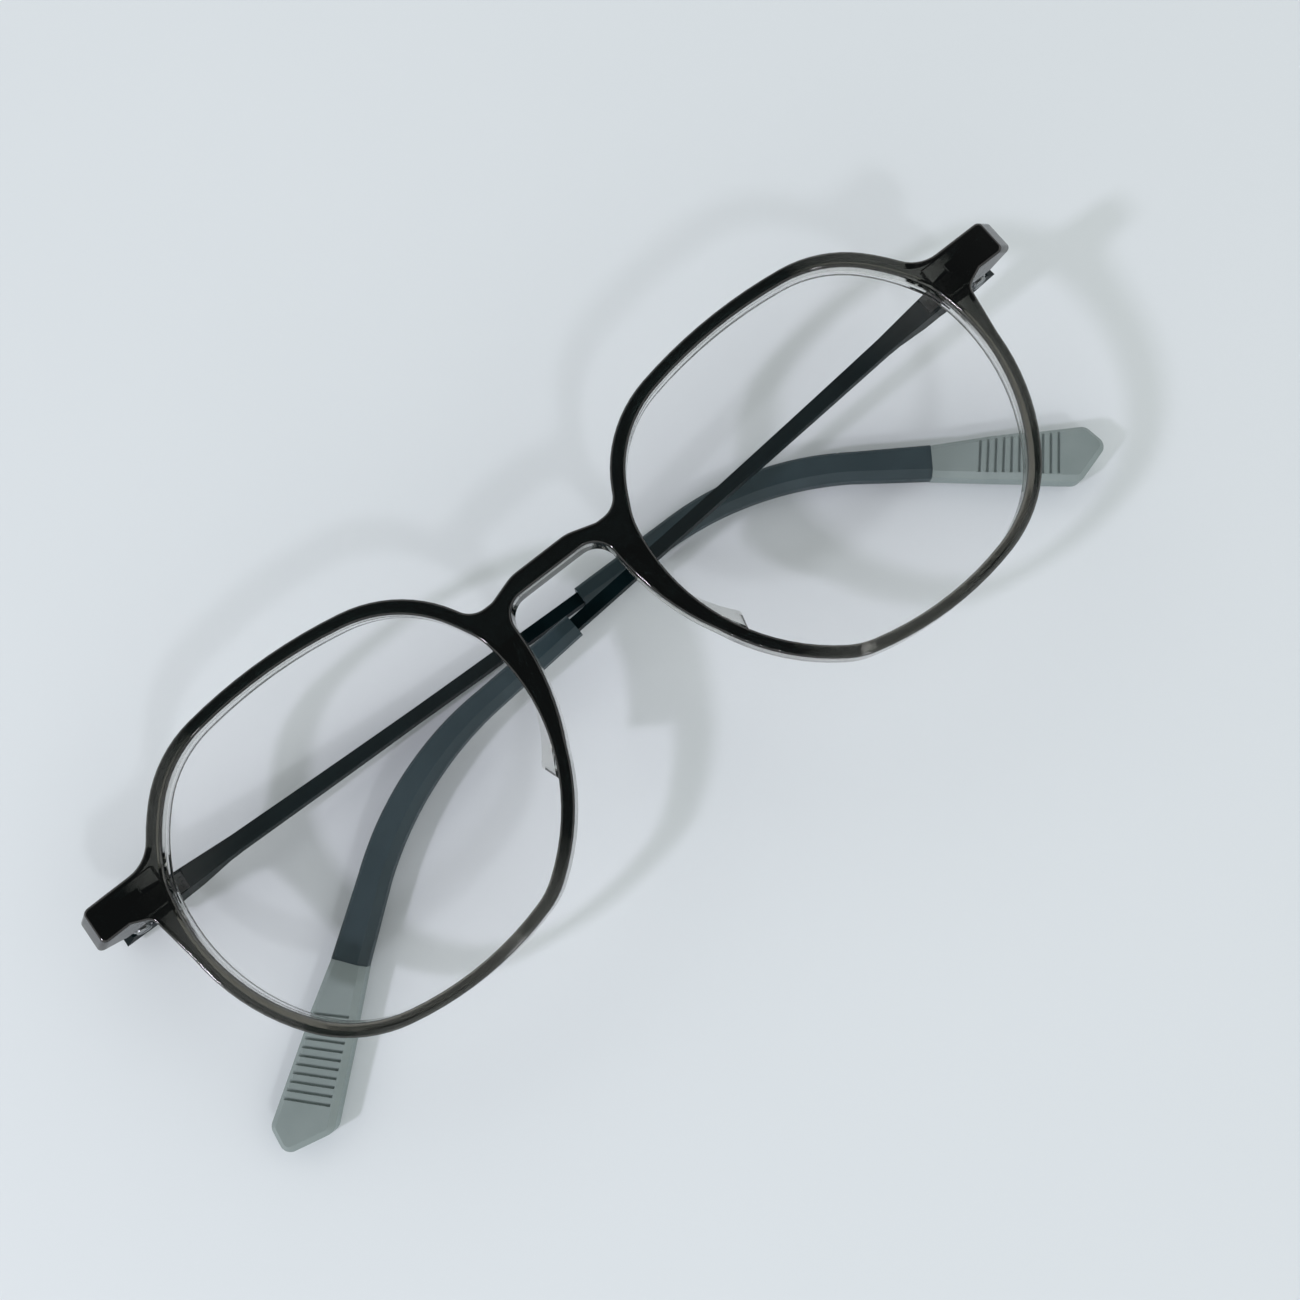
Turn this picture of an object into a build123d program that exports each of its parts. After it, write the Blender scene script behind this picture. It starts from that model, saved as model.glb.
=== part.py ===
from build123d import *
import math
import os

os.makedirs("parts", exist_ok=True)

# Folded eyeglasses that lie with the front up, in millimetres.
# X runs to the wearer's left, Y to the top of the front and Z out of the front.
# The front face is modelled at Z = 0 and the whole is set on its lowest point at the end.

# Front: the size marking's lens width and bridge, and the rims around the openings
lens_width = 48.0
lens_height = 43.5
bridge_width = 19.0
groove_depth = 1.0
groove_width = 1.3
rim_side = 1.75
rim_top = 1.65
rim_bottom = 1.45
front_depth = 3.2
front_edge_round = 0.35

# Rounded hexagon of one eye, as shares of its half width and half height, from the outer middle
# corner anticlockwise: corner places, corner radii and the bulge of the side before each corner
eye_corner_shares = (
    (0.966, 0.411),
    (0.583, 0.937),
    (-0.742, 0.852),
    (-0.965, 0.417),
    (-0.479, -0.917),
    (0.577, -0.884),
)
eye_radius_shares = (0.196, 0.300, 0.328, 0.196, 0.198, 0.348)
eye_bulge_shares = (0.1447, 0.0715, 0.0682, 0.0180, 0.1656, 0.0853)

# Bridge and the nose gap between the rims, whose insets are measured from half the bridge width
bridge_top = 12.1
bridge_shoulder = 10.95
bridge_crown_half = 4.0
bridge_shoulder_inset = 1.9
bridge_crown_round = 5.0
bridge_shoulder_round = 2.0
bridge_valley_round = 2.9
arch_top = 9.7
arch_inset = 2.5
arch_round = 2.8
gap_top_inset = 2.35
gap_top_y = 6.2
gap_middle_inset = 0.9
gap_middle_y = -2.4
gap_bottom_outset = 3.6
gap_bottom_y = -11.4

# Nose pads moulded in one piece with the rims, behind them
pad_top_inset = 1.2
pad_top_y = 5.6
pad_middle_outset = 0.25
pad_middle_y = -2.0
pad_bottom_outset = 3.45
pad_bottom_y = -9.4
pad_root_thickness = 1.9
pad_tip_thickness = 1.3
pad_height = 3.0
pad_splay = 1.3
pad_shrink = 2.6
pad_sink = 0.4
pad_edge_round = 0.3

# End pieces that carry the hinges: each flares outwards behind its front face, then its rear
# corner is mitred to meet the temple's butt
end_length = 7.0
end_flare = 1.9
end_mitre = 1.9
end_top_y = 11.55
end_bottom_y = 6.95
end_depth = 4.2
end_root_length = 8.2
end_corner_round = 0.7
end_top_valley_round = 4.5
end_valley_outset = 1.1
end_valley_y = 5.9
end_valley_round = 1.5
end_web_foot_y = -1.5
end_web_round = 9.0

# Lenses: a shallow meniscus with a V edge that sits in the rim groove
lens_clearance = 0.05
lens_front_radius = 320.0
lens_back_radius = 260.0
lens_front_inset = 0.25
lens_centre_thickness = 1.4
lens_edge_depth = 0.9
lens_edge_width = 0.9
groove_plane_depth = 1.75
v_root = 0.4

# Hinges: two knuckles on the front and one on the temple, around a screw along Y
pivot_inset = 1.8
pivot_depth = 6.8
knuckle_radius = 1.15
screw_radius = 0.6
screw_clearance = 0.05
temple_knuckle_height = 1.2
knuckle_gap = 0.06
hinge_height = 3.9
front_leaf_thickness = 0.8
front_leaf_sink = 0.4
front_leaf_outboard = 1.15
front_leaf_inboard = 1.0
front_leaf_height = 3.5
front_tongue_end = 3.7
front_tongue_height = 1.15
front_tongue_rise = 0.75
front_arm_half = 0.95
temple_leaf_end = 7.0
temple_leaf_height = 2.2
temple_leaf_thickness = 0.5
temple_web_rise = 0.3
leaf_clearance = 0.03
screw_head_radius = 0.95
screw_head_height = 0.4
screw_slot_width = 0.25
screw_slot_depth = 0.2

# Temple bars: an end block with a mitred butt at the hinge, then a thin bar whose core runs
# into the sleeve
block_butt = 2.15
block_mitre_gap = 0.45
block_relief = 1.45
block_inner = 0.5
block_outer = 3.6
block_height = 3.7
block_length = 1.0
block_flat = 7.5
block_taper = 12.0
bar_root_length = 5.0
bar_root_height = 2.9
bar_neck_length = 14.0
bar_neck_height = 2.1
bar_slim_length = 40.0
bar_slim_height = 1.65
bar_thickness = 1.7
bar_centre_depth = 1.65
core_end = 79.8
core_clearance = 0.05

# Sleeve and ear tip: straight, one bend down behind the ear, then straight again, and
# everything beyond the block's taper bowed outwards a little
bow_end = 145.0
bow_depth = 2.5
sleeve_start = 65.1
bend_start = 79.5
bend_radius = 42.0
bend_angle = 34.2
tail_length = 10.1
sleeve_start_height = 2.8
sleeve_bend_height = 3.2
sleeve_end_height = 4.3
sleeve_inner = 0.25
sleeve_outer = 3.05
sleeve_edge_round = 0.5
sleeve_chamfer = 1.0
tongue_length = 5.0
tongue_height = 2.4
tongue_inner = 1.0
tongue_outer = 2.2
tip_shoulder = 8.0
tip_shoulder_half = 2.9
tip_heel = 20.0
tip_heel_rise = 3.55
tip_end = 22.5
tip_end_rise = 0.9
tip_toe = 18.7
tip_toe_fall = 3.75
tip_corner_round = 1.4
tip_inner = 0.15
tip_outer = 3.15
tip_edge_round = 0.45
tip_chamfer = 0.7

# Grip grooves across the inner face of each ear tip
tip_groove_count = 11
tip_groove_offset = 6.1
tip_groove_pitch = 1.0
tip_groove_width = 0.36
tip_groove_depth = 0.28
tip_groove_inset = 0.3
tip_groove_lean = 0.3

# How the folded temples lie: both hinges tilt a little towards the rims' lower edge, each
# temple has its own drop from its hinge, and the right one lies over the left one
hinge_tilt_angle = 1.8
right_drop_angle = -0.9
left_drop_angle = 1.8
right_fold_angle = 3.5
left_fold_angle = 0.0

eye_width = lens_width - 2 * groove_depth
eye_height = lens_height - 2 * groove_depth
eye_centre = (lens_width + bridge_width) / 2
hinge_y = (end_top_y + end_bottom_y) / 2
bridge_half = bridge_width / 2
bridge_shoulder_half = bridge_half - bridge_shoulder_inset
arch_half = bridge_half - arch_inset
gap_top_half = bridge_half - gap_top_inset
gap_middle_half = bridge_half - gap_middle_inset
gap_bottom_half = bridge_half + gap_bottom_outset
pad_top_half = bridge_half - pad_top_inset
pad_middle_half = bridge_half + pad_middle_outset
pad_bottom_half = bridge_half + pad_bottom_outset


def eye_face(width, height):
    """The rounded hexagon of one eye, about its centre, with the temple side at +X."""
    half_width = width / 2
    half_height = height / 2
    corners = [(x_share * half_width, y_share * half_height) for x_share, y_share in eye_corner_shares]
    with BuildSketch() as eye:
        with BuildLine():
            for index, bulge_share in enumerate(eye_bulge_shares):
                start = Vector(*corners[index - 1])
                stop = Vector(*corners[index])
                SagittaArc(start, stop, -bulge_share * (stop - start).length)
        make_face()
        for corner, radius_share in zip(corners, eye_radius_shares):
            fillet(eye.vertices().sort_by_distance((*corner, 0))[0], radius=radius_share * width)
    return eye.sketch


def v_ring(face, depth, width):
    """A ring along an outline whose section is a V that points outwards, with its root inside."""
    path = face.faces()[0].outer_wire()
    outwards = Plane(origin=path @ 0, x_dir=(0, 0, 1), z_dir=path % 0)
    root = -math.copysign(v_root, outwards.y_dir.dot(path @ 0))
    apex = math.copysign(depth, outwards.y_dir.dot(path @ 0))
    with BuildPart() as ring:
        with BuildSketch(outwards):
            with BuildLine():
                Polyline(
                    (-width / 2, root),
                    (-width / 2, 0),
                    (0, apex),
                    (width / 2, 0),
                    (width / 2, root),
                    close=True,
                )
            make_face()
        sweep(path=path)
    return ring.part


opening = eye_face(eye_width, eye_height)
rim = eye_face(eye_width + 2 * rim_side, eye_height + rim_top + rim_bottom)
rim_groove = v_ring(opening, groove_depth, groove_width)
rim_rise = (rim_top - rim_bottom) / 2
rim_outer_half = eye_centre + rim.bounding_box().max.X
end_face_half = rim_outer_half + end_length
end_outer_half = end_face_half + end_flare
end_butt_half = end_outer_half - end_mitre
end_root_half = end_face_half - end_length / 2
pivot_half = end_face_half - pivot_inset

leaf_face_depth = pivot_depth - end_depth


def leaf_outline(clearance):
    """The front hinge leaf's plate and tongue, or their pocket, about the pivot with the bridge at +X."""
    with BuildSketch() as plate:
        with Locations(((front_leaf_inboard - front_leaf_outboard) / 2, 0)):
            Rectangle(
                front_leaf_outboard + front_leaf_inboard + 2 * clearance,
                front_leaf_height + 2 * clearance,
            )
        with Locations((0, front_tongue_rise)):
            Rectangle(
                front_tongue_end + clearance,
                front_tongue_height + 2 * clearance,
                align=(Align.MIN, Align.CENTER),
            )
    return plate.sketch


# Hinge leaf on the front, about its pivot, with the other hinge at +X
with BuildPart() as front_leaf:
    with BuildSketch(Plane.XY.offset(leaf_face_depth + front_leaf_sink)):
        add(leaf_outline(0))
    extrude(amount=-front_leaf_thickness)
    with BuildSketch(Plane.XZ):
        Circle(knuckle_radius)
        with Locations((0, leaf_face_depth / 2)):
            Rectangle(2 * front_arm_half, leaf_face_depth)
    extrude(amount=hinge_height / 2, both=True)
    with BuildSketch(Plane.XZ):
        Circle(screw_radius + screw_clearance)
    extrude(amount=hinge_height, both=True, mode=Mode.SUBTRACT)
    with BuildSketch(Plane.XZ):
        Rectangle(2 * knuckle_radius + 2 * knuckle_gap, 2 * knuckle_radius + 2 * knuckle_gap)
    extrude(amount=temple_knuckle_height / 2 + knuckle_gap, both=True, mode=Mode.SUBTRACT)

# Hinge screw: its head bears on the lower knuckle
with BuildPart() as screw:
    with BuildSketch(Plane.XZ.offset(-hinge_height / 2)):
        Circle(screw_radius)
    extrude(amount=hinge_height)
    with BuildSketch(Plane.XZ.offset(hinge_height / 2)):
        Circle(screw_head_radius)
    extrude(amount=screw_head_height)
    fillet(screw.faces().sort_by(Axis.Y)[0].edges(), radius=screw_head_height / 2)
    with BuildSketch(Plane.XZ.offset(hinge_height / 2 + screw_head_height)):
        Rectangle(2 * screw_head_radius, screw_slot_width)
    extrude(amount=-screw_slot_depth, mode=Mode.SUBTRACT)


# Temple pieces, about their pivot, shut, with the temple along +X and its inner face at +Z.
def on_bend(turn_share, rise):
    """A place on the bend behind the ear, at a share of its angle and a rise above its middle line."""
    turn = math.radians(bend_angle * turn_share)
    along = bend_start + (bend_radius + rise) * math.sin(turn)
    return (along, (bend_radius + rise) * math.cos(turn) - bend_radius)


def on_tail(along, rise):
    """A place on the straight tail beyond the bend, measured from the tip's root."""
    turn = math.radians(bend_angle)
    end = on_bend(1, rise)
    return (end[0] + (tail_length + along) * math.cos(turn), end[1] - (tail_length + along) * math.sin(turn))


def rise_of(place):
    """How far a place stands above the temple's middle line, seen from the side."""
    turn = math.atan2(place.X - bend_start, place.Y + bend_radius)
    turn = min(max(turn, 0), math.radians(bend_angle))
    return (place.X - bend_start) * math.sin(turn) + (place.Y + bend_radius) * math.cos(turn) - bend_radius


def is_lower_inner(edge):
    """Whether an edge runs along the temple's inner face on its lower side."""
    place = edge.center()
    reach = (bow_end - block_taper) / 2
    bow = bow_depth * (1 - ((place.X - block_taper - reach) / reach) ** 2)
    return rise_of(place) < 0 and place.Z > -bar_centre_depth - bow


def bowed(inner, outer):
    """The bowed slab between two depths that the temple's profiles are cut from."""
    middle = (block_taper + bow_end) / 2
    with BuildPart() as slab:
        with BuildSketch(Plane.XZ):
            with BuildLine():
                near = ThreePointArc((block_taper, -inner), (middle, -inner - bow_depth), (bow_end, -inner))
                far = ThreePointArc((block_taper, -outer), (middle, -outer - bow_depth), (bow_end, -outer))
                Line(near @ 0, far @ 0)
                Line(near @ 1, far @ 1)
            make_face()
        extrude(amount=2 * bend_radius, both=True)
    return slab.part


bar_half = bar_thickness / 2
bar_inner = bar_centre_depth - bar_half
bar_outer = bar_centre_depth + bar_half
mitre_reach = pivot_depth - end_depth - (end_butt_half - pivot_half) - block_mitre_gap
block_mitre_depth = block_butt - mitre_reach
block_tip = block_outer + mitre_reach

# Bar: block, neck and core
with BuildPart() as bar:
    with BuildSketch(Plane.XZ):
        with BuildLine():
            Polyline(
                (block_taper, -bar_inner),
                (block_flat, -block_inner),
                (block_relief, -block_inner),
                (block_relief, -block_relief),
                (-block_butt, -block_relief),
                (-block_butt, -block_mitre_depth),
                (-block_tip, -block_outer),
                (block_flat, -block_outer),
                (block_taper, -bar_outer),
            )
            middle = (block_taper + bow_end) / 2
            near = ThreePointArc(
                (block_taper, -bar_inner), (middle, -bar_inner - bow_depth), (bow_end, -bar_inner)
            )
            far = ThreePointArc(
                (block_taper, -bar_outer), (middle, -bar_outer - bow_depth), (bow_end, -bar_outer)
            )
            Line(near @ 1, far @ 1)
        make_face()
    extrude(amount=block_height, both=True)
    with BuildSketch() as bar_side:
        with BuildLine():
            Polyline(
                (-block_tip, block_height / 2),
                (block_length, block_height / 2),
                (bar_root_length, bar_root_height / 2),
                (bar_neck_length, bar_neck_height / 2),
                (bar_slim_length, bar_slim_height / 2),
                (core_end, bar_slim_height / 2),
                (core_end, 0),
                (-block_tip, 0),
                close=True,
            )
        make_face()
        mirror(about=Plane.XZ)
    extrude(amount=block_outer + 2 * bow_depth, both=True, mode=Mode.INTERSECT)

with BuildPart() as leaf_seat:
    with BuildSketch(Plane.XY.offset(-block_inner - temple_leaf_thickness - leaf_clearance)):
        Rectangle(
            temple_leaf_end + leaf_clearance,
            temple_leaf_height + 2 * leaf_clearance,
            align=(Align.MIN, Align.CENTER),
        )
    extrude(amount=block_inner + temple_leaf_thickness)

# Hinge leaf on the temple
with BuildPart() as temple_leaf:
    with BuildSketch(Plane.XY.offset(-block_inner)):
        with Locations((block_relief, 0)):
            Rectangle(temple_leaf_end - block_relief, temple_leaf_height, align=(Align.MIN, Align.CENTER))
    extrude(amount=-temple_leaf_thickness)
    with BuildSketch(Plane.XZ):
        Circle(knuckle_radius)
        with Locations((0, temple_web_rise)):
            Rectangle(
                block_relief,
                block_inner + temple_leaf_thickness + temple_web_rise,
                align=(Align.MIN, Align.MAX),
            )
    extrude(amount=temple_knuckle_height / 2, both=True)
    with BuildSketch(Plane.XZ):
        Circle(screw_radius + screw_clearance)
    extrude(amount=hinge_height, both=True, mode=Mode.SUBTRACT)

# Sleeve over the bar's core, with a tongue that holds the tip
with BuildPart() as core_bore:
    with BuildSketch():
        with Locations((sleeve_start, 0)):
            Rectangle(
                core_end + core_clearance - sleeve_start,
                bar_slim_height + 2 * core_clearance,
                align=(Align.MIN, Align.CENTER),
            )
    extrude(amount=sleeve_outer + 2 * bow_depth, both=True)
    add(bowed(bar_inner - core_clearance, bar_outer + core_clearance), mode=Mode.INTERSECT)

with BuildPart() as tongue:
    with BuildSketch():
        with BuildLine():
            Polyline(
                on_tail(-tongue_length, -tongue_height / 2),
                on_tail(tongue_length, -tongue_height / 2),
                on_tail(tongue_length, tongue_height / 2),
                on_tail(-tongue_length, tongue_height / 2),
                close=True,
            )
        make_face()
    extrude(amount=sleeve_outer + 2 * bow_depth, both=True)
    add(bowed(tongue_inner, tongue_outer), mode=Mode.INTERSECT)

with BuildPart() as sleeve:
    with BuildSketch():
        with BuildLine():
            for across in (1, -1):
                start_rise = across * sleeve_start_height / 2
                bend_rise = across * sleeve_bend_height / 2
                end_rise = across * sleeve_end_height / 2
                middle_rise = (bend_rise + end_rise) / 2
                Line((sleeve_start, start_rise), (bend_start, bend_rise))
                ThreePointArc((bend_start, bend_rise), on_bend(1 / 2, middle_rise), on_bend(1, middle_rise))
                Line(on_bend(1, middle_rise), on_tail(0, end_rise))
            Line((sleeve_start, -sleeve_start_height / 2), (sleeve_start, sleeve_start_height / 2))
            Line(on_tail(0, -sleeve_end_height / 2), on_tail(0, sleeve_end_height / 2))
        make_face()
    extrude(amount=sleeve_outer + 2 * bow_depth, both=True)
    add(bowed(sleeve_inner, sleeve_outer), mode=Mode.INTERSECT)
    long_edges = sleeve.edges().filter_by(lambda edge: edge.length > 2 * sleeve_end_height)
    chamfer(long_edges.filter_by(is_lower_inner), length=sleeve_chamfer)
    long_edges = sleeve.edges().filter_by(lambda edge: edge.length > 2 * sleeve_end_height)
    fillet(long_edges.filter_by(lambda edge: not is_lower_inner(edge)), radius=sleeve_edge_round)
    add(core_bore.part, mode=Mode.SUBTRACT)
    add(tongue.part)

with BuildPart() as tongue_bore:
    with BuildSketch():
        with BuildLine():
            Polyline(
                on_tail(-core_clearance, -tongue_height / 2 - core_clearance),
                on_tail(tongue_length + core_clearance, -tongue_height / 2 - core_clearance),
                on_tail(tongue_length + core_clearance, tongue_height / 2 + core_clearance),
                on_tail(-core_clearance, tongue_height / 2 + core_clearance),
                close=True,
            )
        make_face()
    extrude(amount=sleeve_outer + 2 * bow_depth, both=True)
    add(bowed(tongue_inner - core_clearance, tongue_outer + core_clearance), mode=Mode.INTERSECT)


def tip_half(along):
    """Half the ear tip's height at a place along it."""
    root_half = sleeve_end_height / 2
    if along < tip_shoulder:
        return root_half + (tip_shoulder_half - root_half) * along / tip_shoulder
    reach_share = (along - tip_shoulder) / (tip_heel - tip_shoulder)
    return tip_shoulder_half + (tip_heel_rise - tip_shoulder_half) * reach_share


# Ear tip with its grip grooves, which lean a little: their upper ends lie farther along
with BuildPart() as grip:
    with BuildSketch():
        for index in range(tip_groove_count):
            near = tip_groove_offset + index * tip_groove_pitch - tip_groove_width / 2
            upper = tip_half(near) - tip_groove_inset
            lower = tip_chamfer - tip_half(near)
            with BuildLine():
                Polyline(
                    on_tail(near - tip_groove_lean, lower),
                    on_tail(near + tip_groove_width - tip_groove_lean, lower),
                    on_tail(near + tip_groove_width + tip_groove_lean, upper),
                    on_tail(near + tip_groove_lean, upper),
                    close=True,
                )
            make_face()
    extrude(amount=tip_outer + 2 * bow_depth, both=True)
    add(bowed(tip_inner - tip_groove_depth, tip_inner + tip_groove_depth), mode=Mode.INTERSECT)

with BuildPart() as tip:
    with BuildSketch() as tip_side:
        with BuildLine():
            Polyline(
                on_tail(0, sleeve_end_height / 2),
                on_tail(tip_shoulder, tip_shoulder_half),
                on_tail(tip_heel, tip_heel_rise),
                on_tail(tip_end, tip_end_rise),
                on_tail(tip_toe, -tip_toe_fall),
                on_tail(tip_shoulder, -tip_shoulder_half),
                on_tail(0, -sleeve_end_height / 2),
                close=True,
            )
        make_face()
        for place in (
            on_tail(tip_heel, tip_heel_rise),
            on_tail(tip_end, tip_end_rise),
            on_tail(tip_toe, -tip_toe_fall),
        ):
            fillet(tip_side.vertices().sort_by_distance((*place, 0))[0], radius=tip_corner_round)
    extrude(amount=tip_outer + 2 * bow_depth, both=True)
    add(bowed(tip_inner, tip_outer), mode=Mode.INTERSECT)
    long_edges = tip.edges().filter_by(lambda edge: edge.length > 2 * tip_corner_round + tip_outer)
    chamfer(long_edges.filter_by(is_lower_inner), length=tip_chamfer)
    outer_edges = tip.faces().sort_by(Axis.Z)[0].edges()
    long_edges = outer_edges.filter_by(lambda edge: edge.length > 2 * tip_corner_round + tip_outer)
    fillet(long_edges, radius=tip_edge_round)
    add(grip.part, mode=Mode.SUBTRACT)
    add(tongue_bore.part, mode=Mode.SUBTRACT)

# Nose pad behind one rim
with BuildPart() as nose_pad:
    pad_places = (
        (pad_top_half, pad_top_y),
        (pad_middle_half, pad_middle_y),
        (pad_bottom_half, pad_bottom_y),
    )
    with BuildSketch(Plane.XY.offset(pad_sink - front_depth)):
        with BuildLine(mode=Mode.PRIVATE):
            root = ThreePointArc(*pad_places)
        SlotArc(root, pad_root_thickness)
    with BuildSketch(Plane.XY.offset(-front_depth - pad_height)):
        with BuildLine(mode=Mode.PRIVATE):
            back = ThreePointArc(
                (pad_top_half + pad_splay, pad_top_y - pad_shrink),
                (pad_middle_half + pad_splay, pad_middle_y),
                (pad_bottom_half + pad_splay, pad_bottom_y + pad_shrink),
            )
        SlotArc(back, pad_tip_thickness)
    loft()
    fillet(nose_pad.faces().sort_by(Axis.Z)[0].edges(), radius=pad_edge_round)

# End piece behind its front face, and the pocket for the hinge leaf in its back
with BuildPart() as end_piece:
    with BuildSketch(Plane.XZ.offset(-end_top_y)):
        with BuildLine():
            Polyline(
                (end_root_half - front_edge_round, 0),
                (end_face_half, 0),
                (end_outer_half, end_mitre - end_depth),
                (end_butt_half, -end_depth),
                (end_face_half - end_root_length, -end_depth),
                (end_face_half - end_root_length, -front_depth / 2),
                (end_root_half - front_edge_round, -front_depth / 2),
                close=True,
            )
        make_face()
    extrude(amount=end_top_y - end_bottom_y)
    corners = end_piece.edges().filter_by(lambda edge: edge.center().X > end_face_half)
    corners = corners.filter_by(lambda edge: abs(edge.center().Y - hinge_y) > end_corner_round)
    fillet(corners, radius=end_corner_round)

with BuildPart() as leaf_pocket:
    with BuildSketch(Plane((-pivot_half, hinge_y, -end_depth), x_dir=(1, 0, 0), z_dir=(0, 0, 1))):
        with Locations(Location((0, 0, 0), (0, 0, -hinge_tilt_angle))):
            add(leaf_outline(leaf_clearance))
    extrude(amount=front_leaf_sink)

# Front: rims, bridge, end pieces and nose pads in one moulding
with BuildPart() as front:
    with BuildSketch() as front_sketch:
        with BuildLine():
            side = ThreePointArc(
                (gap_top_half, gap_top_y), (gap_middle_half, gap_middle_y), (gap_bottom_half, gap_bottom_y)
            )
            Polyline(
                side @ 0,
                (arch_half, arch_top),
                (0, arch_top),
                (0, bridge_top),
                (bridge_crown_half, bridge_top),
                (bridge_shoulder_half, bridge_shoulder),
                (gap_bottom_half, bridge_shoulder),
                side @ 1,
            )
        make_face()
        with Locations((eye_centre, rim_rise)):
            add(rim)
        with BuildLine():
            Polyline(
                (eye_centre, end_top_y),
                (end_root_half, end_top_y),
                (end_root_half, end_bottom_y),
                (rim_outer_half + end_valley_outset, end_valley_y),
                (rim_outer_half - front_edge_round, end_web_foot_y),
                (eye_centre, end_web_foot_y),
                close=True,
            )
        make_face()
        mirror(about=Plane.YZ)
        flank = front_sketch.vertices().filter_by(lambda corner: corner.X > eye_centre)
        end_top = flank.filter_by(lambda corner: abs(corner.Y - end_top_y) < leaf_clearance)
        end_valley = end_top.sort_by(Axis.X)[0]
        web_foot = flank.sort_by_distance((rim_outer_half, end_web_foot_y, 0))[0]
        nasal = front_sketch.vertices().filter_by(lambda corner: 0 < corner.X < eye_centre)
        saddle = nasal.filter_by(lambda corner: abs(corner.Y - bridge_shoulder) < leaf_clearance)
        bridge_valley = saddle.sort_by(Axis.X)[-1]
        for across in (-1, 1):
            for place, radius in (
                ((end_valley.X, end_top_y), end_top_valley_round),
                ((rim_outer_half + end_valley_outset, end_valley_y), end_valley_round),
                ((web_foot.X, web_foot.Y), end_web_round),
                ((arch_half, arch_top), arch_round),
                ((bridge_crown_half, bridge_top), bridge_crown_round),
                ((bridge_shoulder_half, bridge_shoulder), bridge_shoulder_round),
                ((bridge_valley.X, bridge_shoulder), bridge_valley_round),
            ):
                corner = front_sketch.vertices().sort_by_distance((across * place[0], place[1], 0))[0]
                fillet(corner, radius=radius)
    extrude(amount=-front_depth)
    add(end_piece.part)
    add(mirror(end_piece.part, about=Plane.YZ, mode=Mode.PRIVATE))
    with BuildSketch():
        with Locations((eye_centre, 0)):
            add(opening)
        mirror(about=Plane.YZ)
    extrude(amount=2 * front_depth, both=True, mode=Mode.SUBTRACT)
    fillet(front.faces().sort_by(Axis.Z)[-1].edges(), radius=front_edge_round)
    add(leaf_pocket.part, mode=Mode.SUBTRACT)
    add(mirror(leaf_pocket.part, about=Plane.YZ, mode=Mode.PRIVATE), mode=Mode.SUBTRACT)
    add(nose_pad.part)
    add(mirror(nose_pad.part, about=Plane.YZ, mode=Mode.PRIVATE))
    groove = Pos(eye_centre, 0, -groove_plane_depth) * rim_groove
    add(groove, mode=Mode.SUBTRACT)
    add(mirror(groove, about=Plane.YZ, mode=Mode.PRIVATE), mode=Mode.SUBTRACT)

# Lens for the wearer's left eye, about the opening's centre
lens_outline = eye_face(eye_width - 2 * lens_clearance, eye_height - 2 * lens_clearance)
with BuildPart() as lens_plate:
    add(lens_outline)
    extrude(amount=2 * front_depth, both=True)
    with BuildSketch(Plane.XZ) as meniscus:
        with Locations((0, -lens_front_inset - lens_front_radius)):
            Circle(lens_front_radius)
        with Locations((0, -lens_front_inset - lens_centre_thickness - lens_back_radius)):
            Circle(lens_back_radius, mode=Mode.SUBTRACT)
        with Locations((0, lens_width)):
            Rectangle(lens_width, 4 * lens_width, align=(Align.MIN, Align.CENTER), mode=Mode.INTERSECT)
    revolve(axis=Axis.Z, mode=Mode.INTERSECT)
with BuildPart() as lens:
    add(lens_plate.part)
    add(Pos(0, 0, -groove_plane_depth) * v_ring(lens_outline, lens_edge_depth, lens_edge_width))

# Where the hinges and the folded temples stand; the left ones are the right ones mirrored
right_hinge = Location((-pivot_half, hinge_y, -pivot_depth), (0, 0, -hinge_tilt_angle))
left_hinge = Location((pivot_half, hinge_y, -pivot_depth), (0, 0, hinge_tilt_angle))
right_leaf = right_hinge * Location((0, 0, 0), (0, right_fold_angle, 0))
left_leaf = left_hinge * Location((0, 0, 0), (0, -left_fold_angle, 0))
right_temple = right_leaf * Location((0, 0, 0), (0, 0, -right_drop_angle))
left_temple = left_leaf * Location((0, 0, 0), (0, 0, left_drop_angle))

# The whole stands on its lowest point, with the origin under the middle of its box
left_tip = mirror(tip.part, about=Plane.YZ, mode=Mode.PRIVATE)
left_bar = mirror(bar.part, about=Plane.YZ, mode=Mode.PRIVATE)
right_ends = [right_temple * bar.part, right_temple * tip.part]
left_ends = [left_temple * left_bar, left_temple * left_tip]
box = Compound(children=[front.part, *right_ends, *left_ends]).bounding_box()
standing = Location((-box.center().X, -box.center().Y, -box.min.Z))
print("pivots", (standing * right_hinge).position, (standing * left_hinge).position)

with BuildPart() as front_frame:
    add(standing * front.part)
front_frame.part.label = "front_frame"
export_step(front_frame.part, "parts/front_frame.step")

with BuildPart() as lens_left:
    add(standing * Pos(eye_centre, 0, 0) * lens.part)
lens_left.part.label = "lens_left"
export_step(lens_left.part, "parts/lens_left.step")

with BuildPart() as lens_right:
    add(standing * Pos(-eye_centre, 0, 0) * mirror(lens.part, about=Plane.YZ, mode=Mode.PRIVATE))
lens_right.part.label = "lens_right"
export_step(lens_right.part, "parts/lens_right.step")

with BuildPart() as right_front_hinge:
    add(standing * right_hinge * front_leaf.part)
right_front_hinge.part.label = "right_front_hinge"
export_step(right_front_hinge.part, "parts/right_front_hinge.step")

with BuildPart() as right_hinge_screw:
    add(standing * right_hinge * screw.part)
right_hinge_screw.part.label = "right_hinge_screw"
export_step(right_hinge_screw.part, "parts/right_hinge_screw.step")

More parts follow.
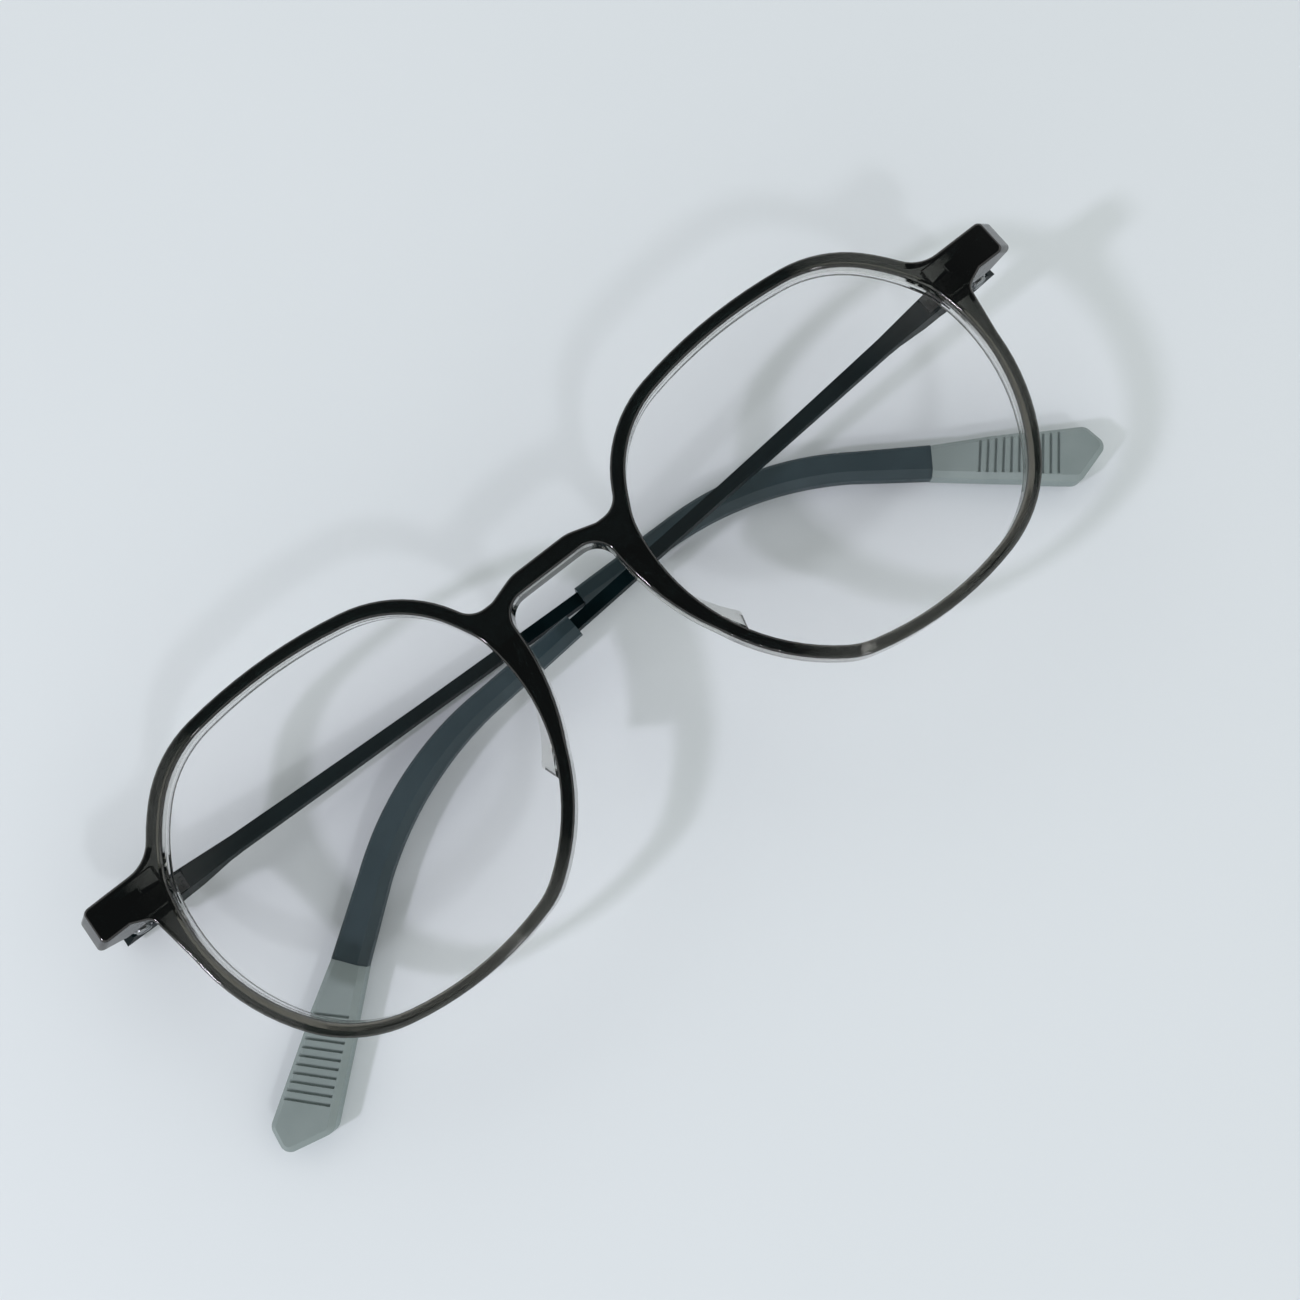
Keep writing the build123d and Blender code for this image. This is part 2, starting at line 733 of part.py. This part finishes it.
with BuildPart() as right_temple_hinge:
    add(standing * right_leaf * temple_leaf.part)
right_temple_hinge.part.label = "right_temple_hinge"
export_step(right_temple_hinge.part, "parts/right_temple_hinge.step")

with BuildPart() as right_temple_bar:
    add(standing * right_temple * bar.part)
    add(standing * right_leaf * leaf_seat.part, mode=Mode.SUBTRACT)
right_temple_bar.part.label = "right_temple_bar"
export_step(right_temple_bar.part, "parts/right_temple_bar.step")

with BuildPart() as right_temple_sleeve:
    add(standing * right_temple * sleeve.part)
right_temple_sleeve.part.label = "right_temple_sleeve"
export_step(right_temple_sleeve.part, "parts/right_temple_sleeve.step")

with BuildPart() as right_ear_tip:
    add(standing * right_temple * tip.part)
right_ear_tip.part.label = "right_ear_tip"
export_step(right_ear_tip.part, "parts/right_ear_tip.step")

with BuildPart() as left_front_hinge:
    add(standing * left_hinge * mirror(front_leaf.part, about=Plane.YZ, mode=Mode.PRIVATE))
left_front_hinge.part.label = "left_front_hinge"
export_step(left_front_hinge.part, "parts/left_front_hinge.step")

with BuildPart() as left_hinge_screw:
    add(standing * left_hinge * mirror(screw.part, about=Plane.YZ, mode=Mode.PRIVATE))
left_hinge_screw.part.label = "left_hinge_screw"
export_step(left_hinge_screw.part, "parts/left_hinge_screw.step")

with BuildPart() as left_temple_hinge:
    add(standing * left_leaf * mirror(temple_leaf.part, about=Plane.YZ, mode=Mode.PRIVATE))
left_temple_hinge.part.label = "left_temple_hinge"
export_step(left_temple_hinge.part, "parts/left_temple_hinge.step")

with BuildPart() as left_temple_bar:
    add(standing * left_temple * left_bar)
    add(standing * left_leaf * mirror(leaf_seat.part, about=Plane.YZ, mode=Mode.PRIVATE), mode=Mode.SUBTRACT)
left_temple_bar.part.label = "left_temple_bar"
export_step(left_temple_bar.part, "parts/left_temple_bar.step")

with BuildPart() as left_temple_sleeve:
    add(standing * left_temple * mirror(sleeve.part, about=Plane.YZ, mode=Mode.PRIVATE))
left_temple_sleeve.part.label = "left_temple_sleeve"
export_step(left_temple_sleeve.part, "parts/left_temple_sleeve.step")

with BuildPart() as left_ear_tip:
    add(standing * left_temple * left_tip)
left_ear_tip.part.label = "left_ear_tip"
export_step(left_ear_tip.part, "parts/left_ear_tip.step")
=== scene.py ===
import bmesh
import bpy
from mathutils import Matrix, Vector


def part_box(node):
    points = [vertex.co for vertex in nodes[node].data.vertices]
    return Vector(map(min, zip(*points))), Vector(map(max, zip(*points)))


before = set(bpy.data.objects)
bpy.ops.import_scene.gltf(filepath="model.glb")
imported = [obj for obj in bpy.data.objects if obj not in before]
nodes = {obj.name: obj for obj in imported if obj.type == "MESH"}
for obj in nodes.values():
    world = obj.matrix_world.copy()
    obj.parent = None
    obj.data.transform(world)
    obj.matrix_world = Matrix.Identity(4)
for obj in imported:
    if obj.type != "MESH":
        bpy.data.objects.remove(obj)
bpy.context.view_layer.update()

scene = bpy.context.scene
MM = 0.001

# The photo's camera, fitted on the two rims. Its place is counted from the middle of the lens line,
# on the face of the front.
CAMERA_RIGHT = Vector((0.78731372, -0.61375584, -0.05865897))
CAMERA_UP = Vector((0.61447397, 0.77329429, 0.15632557))
CAMERA_BACK = Vector((-0.05058509, -0.15912168, 0.98596219))
CAMERA_PLACE = Vector((-3.57, -26.44, 134.10)) * MM
RIM_TOP_ABOVE_LENS_LINE = 22.386 * MM
SENSOR_WIDTH = 36.0
FOCAL_PIXELS = 1200
PICTURE_PIXELS = 1300

# The plane that the folded glasses rest on: the left ear tip and the right sleeve touch it.
TABLE_NORMAL = Vector((0.06874996, 0.02416156, 0.9973413))
TABLE_HEIGHT = 2.9504 * MM
TABLE_HALF_WIDTH = 4.0

# Where the dark face layer of the front gives way: lighter outwards from the middle and down the front,
# and ending a little way in from its face.
BESIDE_NOSE = (16.5 * MM, 22.5 * MM)
BELOW_BROW = (-10.0 * MM, 9.0 * MM)
END_WEB = (44.0 * MM, 52.0 * MM)
END_BLOCK = (56.5 * MM, 60.0 * MM)
END_FLARE = (60.0 * MM, 63.2 * MM)
SMOKE_DEPTHS = (0.55 * MM, 0.40 * MM)


class Finish:
    """The node tree of one finish, with short calls for the nodes that the finishes here are made of."""

    def __init__(self, name):
        self.material = bpy.data.materials.new(name)
        self.material.use_nodes = True
        self.tree = self.material.node_tree
        self.shader = self.tree.nodes["Principled BSDF"]
        self.output = self.tree.nodes["Material Output"]
        self.coords = self.tree.nodes.new("ShaderNodeTexCoord").outputs["Object"]

    def node(self, kind, **settings):
        made = self.tree.nodes.new(kind)
        for key, value in settings.items():
            setattr(made, key, value)
        return made

    def link(self, source, target):
        self.tree.links.new(source, target)

    def feed(self, source, socket):
        self.link(source, self.shader.inputs[socket])

    def set(self, **values):
        for key, value in values.items():
            self.shader.inputs[key.replace("_", " ")].default_value = value

    def noise(self, scale, detail, roughness=0.5):
        made = self.node("ShaderNodeTexNoise")
        made.inputs["Scale"].default_value = scale
        made.inputs["Detail"].default_value = detail
        made.inputs["Roughness"].default_value = roughness
        self.link(self.coords, made.inputs["Vector"])
        return made.outputs["Fac"]

    def ramp(self, value, stops):
        made = self.node("ShaderNodeValToRGB")
        set_stops(made, stops)
        self.link(value, made.inputs["Fac"])
        return made.outputs["Color"]

    def span(self, value, reach, to):
        """The value's way through the reach, from the first to the second end of another span."""
        made = self.node("ShaderNodeMapRange", clamp=True)
        for name, number in zip(("From Min", "From Max", "To Min", "To Max"), (*reach, *to)):
            made.inputs[name].default_value = number
        self.link(value, made.inputs["Value"])
        return made.outputs["Result"]

    def math(self, operation, *values):
        made = self.node("ShaderNodeMath", operation=operation)
        for socket, value in zip(made.inputs, values):
            self.link(value, socket)
        return made.outputs["Value"]

    def bump(self, *heights):
        """Chained bumps, each from a height and its depth in metres."""
        last = None
        for height, depth in heights:
            made = self.node("ShaderNodeBump")
            made.inputs["Distance"].default_value = depth
            made.inputs["Strength"].default_value = 1.0
            self.link(height, made.inputs["Height"])
            if last:
                self.link(last, made.inputs["Normal"])
            last = made.outputs["Normal"]
        self.feed(last, "Normal")

    def tint_inside(self, colour, density):
        volume = self.node("ShaderNodeVolumeAbsorption")
        volume.inputs["Color"].default_value = (*colour, 1.0)
        volume.inputs["Density"].default_value = density
        self.link(volume.outputs["Volume"], self.output.inputs["Volume"])


def set_stops(ramp_node, stops):
    elements = ramp_node.color_ramp.elements
    while len(elements) < len(stops):
        elements.new(0.5)
    for element, (position, colour) in zip(elements, stops):
        element.position = position
        element.color = (*colour, 1.0)


def socket_called(sockets, identifier):
    return next(socket for socket in sockets if socket.identifier == identifier)


def opaque_finish(name, tones, rough, grain, grain_depth, specular=0.5, metallic=0.0):
    """Two tones mixed by a soft cloud, a fine grain in the bump, and uneven roughness."""
    finish = Finish(name)
    cloud = finish.noise(scale=180.0, detail=3.0)
    fine = finish.noise(scale=grain, detail=5.0, roughness=0.65)
    darker, lighter = tones
    finish.feed(finish.ramp(cloud, ((0.32, darker), (0.68, lighter))), "Base Color")
    finish.feed(finish.span(fine, (0.3, 0.7), to=(rough - 0.06, rough + 0.08)), "Roughness")
    finish.bump((fine, grain_depth), (cloud, 0.02 * MM))
    finish.set(Metallic=metallic, Specular_IOR_Level=specular)
    return finish.material


def front_moulding():
    """Two layers moulded together: a pale clear body, and a smoke layer on its face and its ends.

    The face layer is darkest at the brow, beside the nose and on the end blocks, and is set lighter,
    grey-brown, towards the lower outer rims and in the webs that join the ends to the rims.
    """
    finish = Finish("front_plastic")
    wave = finish.noise(scale=90.0, detail=2.0)
    fine = finish.noise(scale=5200.0, detail=4.0, roughness=0.6)
    place = finish.node("ShaderNodeSeparateXYZ")
    finish.link(finish.coords, place.inputs["Vector"])
    across = finish.math("ABSOLUTE", place.outputs["X"])

    beside_nose = finish.span(across, BESIDE_NOSE, to=(0.0, 1.0))
    below_brow = finish.span(place.outputs["Y"], BELOW_BROW, to=(1.0, 0.0))
    end_web = finish.math(
        "MULTIPLY",
        finish.span(across, END_WEB, to=(0.0, 1.0)),
        finish.span(across, END_BLOCK, to=(1.0, 0.0)),
    )
    fade = finish.math("MULTIPLY", beside_nose, finish.math("MAXIMUM", below_brow, end_web))
    smoke = finish.ramp(fade, (
        (0.0, (0.00001, 0.00003, 0.00003)),
        (0.25, (0.0014, 0.0016, 0.0013)),
        (1.0, (0.0095, 0.0095, 0.008)),
    ))
    body = finish.ramp(wave, ((0.3, (0.84, 0.835, 0.81)), (0.7, (0.90, 0.895, 0.88))))

    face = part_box("front_frame")[1][2]
    on_face = finish.span(place.outputs["Z"], [face - depth for depth in SMOKE_DEPTHS], to=(0.0, 1.0))
    on_flare = finish.span(across, END_FLARE, to=(0.0, 0.985))
    layers = finish.node("ShaderNodeMix", data_type="RGBA")
    finish.link(finish.math("MAXIMUM", on_face, on_flare), socket_called(layers.inputs, "Factor_Float"))
    finish.link(body, socket_called(layers.inputs, "A_Color"))
    finish.link(smoke, socket_called(layers.inputs, "B_Color"))
    finish.feed(socket_called(layers.outputs, "Result_Color"), "Base Color")

    finish.set(IOR=1.5, Transmission_Weight=1.0, Specular_IOR_Level=0.25)
    finish.feed(finish.span(fine, (0.35, 0.75), to=(0.03, 0.08)), "Roughness")
    finish.bump((wave, 0.03 * MM), (fine, 0.0008 * MM))
    finish.tint_inside((0.49, 0.495, 0.44), density=110.0)
    return finish.material


def coated_lens():
    """Clear lens, faintly lavender, with little gloss from its coating.

    Light on its way to the table passes straight through, so that the lens casts no dark shadow.
    """
    finish = Finish("lens_glass")
    smudge = finish.noise(scale=60.0, detail=5.0, roughness=0.6)
    finish.set(Base_Color=(1.0, 1.0, 1.0, 1.0), IOR=1.5, Transmission_Weight=1.0, Specular_IOR_Level=0.05)
    finish.feed(finish.span(smudge, (0.45, 0.8), to=(0.0, 0.02)), "Roughness")
    finish.bump((smudge, 0.002 * MM))
    finish.tint_inside((0.60, 0.30, 0.60), density=8.0)

    ray = finish.node("ShaderNodeLightPath")
    clear = finish.node("ShaderNodeBsdfTransparent")
    clear.inputs["Color"].default_value = (0.995, 0.993, 0.995, 1.0)
    mix = finish.node("ShaderNodeMixShader")
    soft_light = finish.math("MAXIMUM", ray.outputs["Is Shadow Ray"], ray.outputs["Is Diffuse Ray"])
    finish.link(soft_light, mix.inputs["Fac"])
    finish.link(finish.shader.outputs["BSDF"], socket_called(mix.inputs, "Shader"))
    finish.link(clear.outputs["BSDF"], socket_called(mix.inputs, "Shader_001"))
    finish.link(mix.outputs["Shader"], finish.output.inputs["Surface"])
    return finish.material


def dress(node, material):
    mesh = nodes[node].data
    mesh.materials.clear()
    mesh.materials.append(material)
    for polygon in mesh.polygons:
        polygon.material_index = 0


def dress_glasses():
    glass = coated_lens()
    metal = opaque_finish(
        "hinge_metal", ((0.20, 0.215, 0.22), (0.27, 0.285, 0.29)),
        rough=0.30, grain=2600.0, grain_depth=0.002 * MM, metallic=1.0,
    )
    bar_paint = opaque_finish(
        "temple_metal", ((0.0012, 0.0045, 0.0055), (0.0025, 0.0075, 0.0090)),
        rough=0.34, grain=3800.0, grain_depth=0.0012 * MM, specular=0.02,
    )
    sleeve_plastic = opaque_finish(
        "sleeve_plastic", ((0.020, 0.036, 0.043), (0.027, 0.045, 0.053)),
        rough=0.42, grain=3000.0, grain_depth=0.002 * MM, specular=0.2,
    )
    tip_rubber = opaque_finish(
        "tip_rubber", ((0.180, 0.225, 0.222), (0.205, 0.252, 0.248)),
        rough=0.48, grain=2600.0, grain_depth=0.003 * MM,
    )
    dress("front_frame", front_moulding())
    for side in ("right", "left"):
        dress(f"lens_{side}", glass)
        for piece in ("front_hinge", "hinge_screw", "temple_hinge"):
            dress(f"{side}_{piece}", metal)
        dress(f"{side}_temple_bar", bar_paint)
        dress(f"{side}_temple_sleeve", sleeve_plastic)
        dress(f"{side}_ear_tip", tip_rubber)


def aim_camera():
    """Puts the camera at the photo's viewing angle."""
    low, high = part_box("front_frame")
    lens_line = Vector(((low[0] + high[0]) / 2, high[1] - RIM_TOP_ABOVE_LENS_LINE, high[2]))
    data = bpy.data.cameras.new("camera")
    data.sensor_width = SENSOR_WIDTH
    data.lens = SENSOR_WIDTH * FOCAL_PIXELS / PICTURE_PIXELS
    data.clip_start = 5.0 * MM
    data.clip_end = 20.0
    camera = bpy.data.objects.new("camera", data)
    turn = Matrix((CAMERA_RIGHT, CAMERA_UP, CAMERA_BACK)).transposed().to_4x4()
    camera.matrix_world = Matrix.Translation(lens_line + CAMERA_PLACE) @ turn
    scene.collection.objects.link(camera)
    scene.camera = camera


def lay_table():
    """A pale table, tilted to the plane that the folded glasses rest on."""
    mesh = bpy.data.meshes.new("table")
    sheet = bmesh.new()
    bmesh.ops.create_grid(sheet, x_segments=1, y_segments=1, size=TABLE_HALF_WIDTH)
    sheet.to_mesh(mesh)
    sheet.free()
    tilt = TABLE_NORMAL.to_track_quat("Z", "Y").to_matrix().to_4x4()
    mesh.transform(Matrix.Translation(TABLE_NORMAL * TABLE_HEIGHT) @ tilt)
    table = bpy.data.objects.new("table", mesh)
    scene.collection.objects.link(table)

    finish = Finish("table_top")
    cloud = finish.noise(scale=9.0, detail=3.0)
    fine = finish.noise(scale=1400.0, detail=5.0, roughness=0.7)
    tones = finish.ramp(cloud, ((0.3, (0.685, 0.738, 0.768)), (0.7, (0.70, 0.752, 0.782))))
    finish.feed(tones, "Base Color")
    finish.set(Roughness=0.55, Specular_IOR_Level=0.25)
    finish.bump((fine, 0.01 * MM))
    mesh.materials.append(finish.material)


def light_room():
    """A pale room that is dark only overhead, where the camera is."""
    room = bpy.data.worlds.new("room")
    room.use_nodes = True
    tree = room.node_tree
    sky = tree.nodes.new("ShaderNodeTexCoord")
    height = tree.nodes.new("ShaderNodeSeparateXYZ")
    tones = tree.nodes.new("ShaderNodeValToRGB")
    set_stops(tones, (
        (0.02, (0.50, 0.535, 0.55)),
        (0.20, (1.0, 1.0, 0.975)),
        (0.58, (1.0, 1.0, 0.975)),
        (0.88, (0.08, 0.09, 0.09)),
    ))
    background = tree.nodes["Background"]
    background.inputs["Strength"].default_value = 1.33
    tree.links.new(sky.outputs["Generated"], height.inputs["Vector"])
    tree.links.new(height.outputs["Z"], tones.inputs["Fac"])
    tree.links.new(tones.outputs["Color"], background.inputs["Color"])
    scene.world = room


def hang_lamp(name, place, width, watts, colour):
    """A square lamp that points at the glasses."""
    data = bpy.data.lights.new(name, "AREA")
    data.shape = "RECTANGLE"
    data.size = width
    data.size_y = width
    data.energy = watts
    data.color = colour
    lamp = bpy.data.objects.new(name, data)
    lamp.location = place
    lamp.rotation_euler = (-Vector(place)).to_track_quat("-Z", "Y").to_euler()
    scene.collection.objects.link(lamp)


dress_glasses()
aim_camera()
lay_table()
light_room()
hang_lamp("window", (-0.80, 0.08, 0.70), width=0.08, watts=3.4, colour=(0.93, 0.88, 1.0))
hang_lamp("lamp", (-0.12, -0.80, 0.80), width=0.10, watts=1.6, colour=(0.96, 0.95, 1.0))
scene.view_settings.view_transform = "Standard"
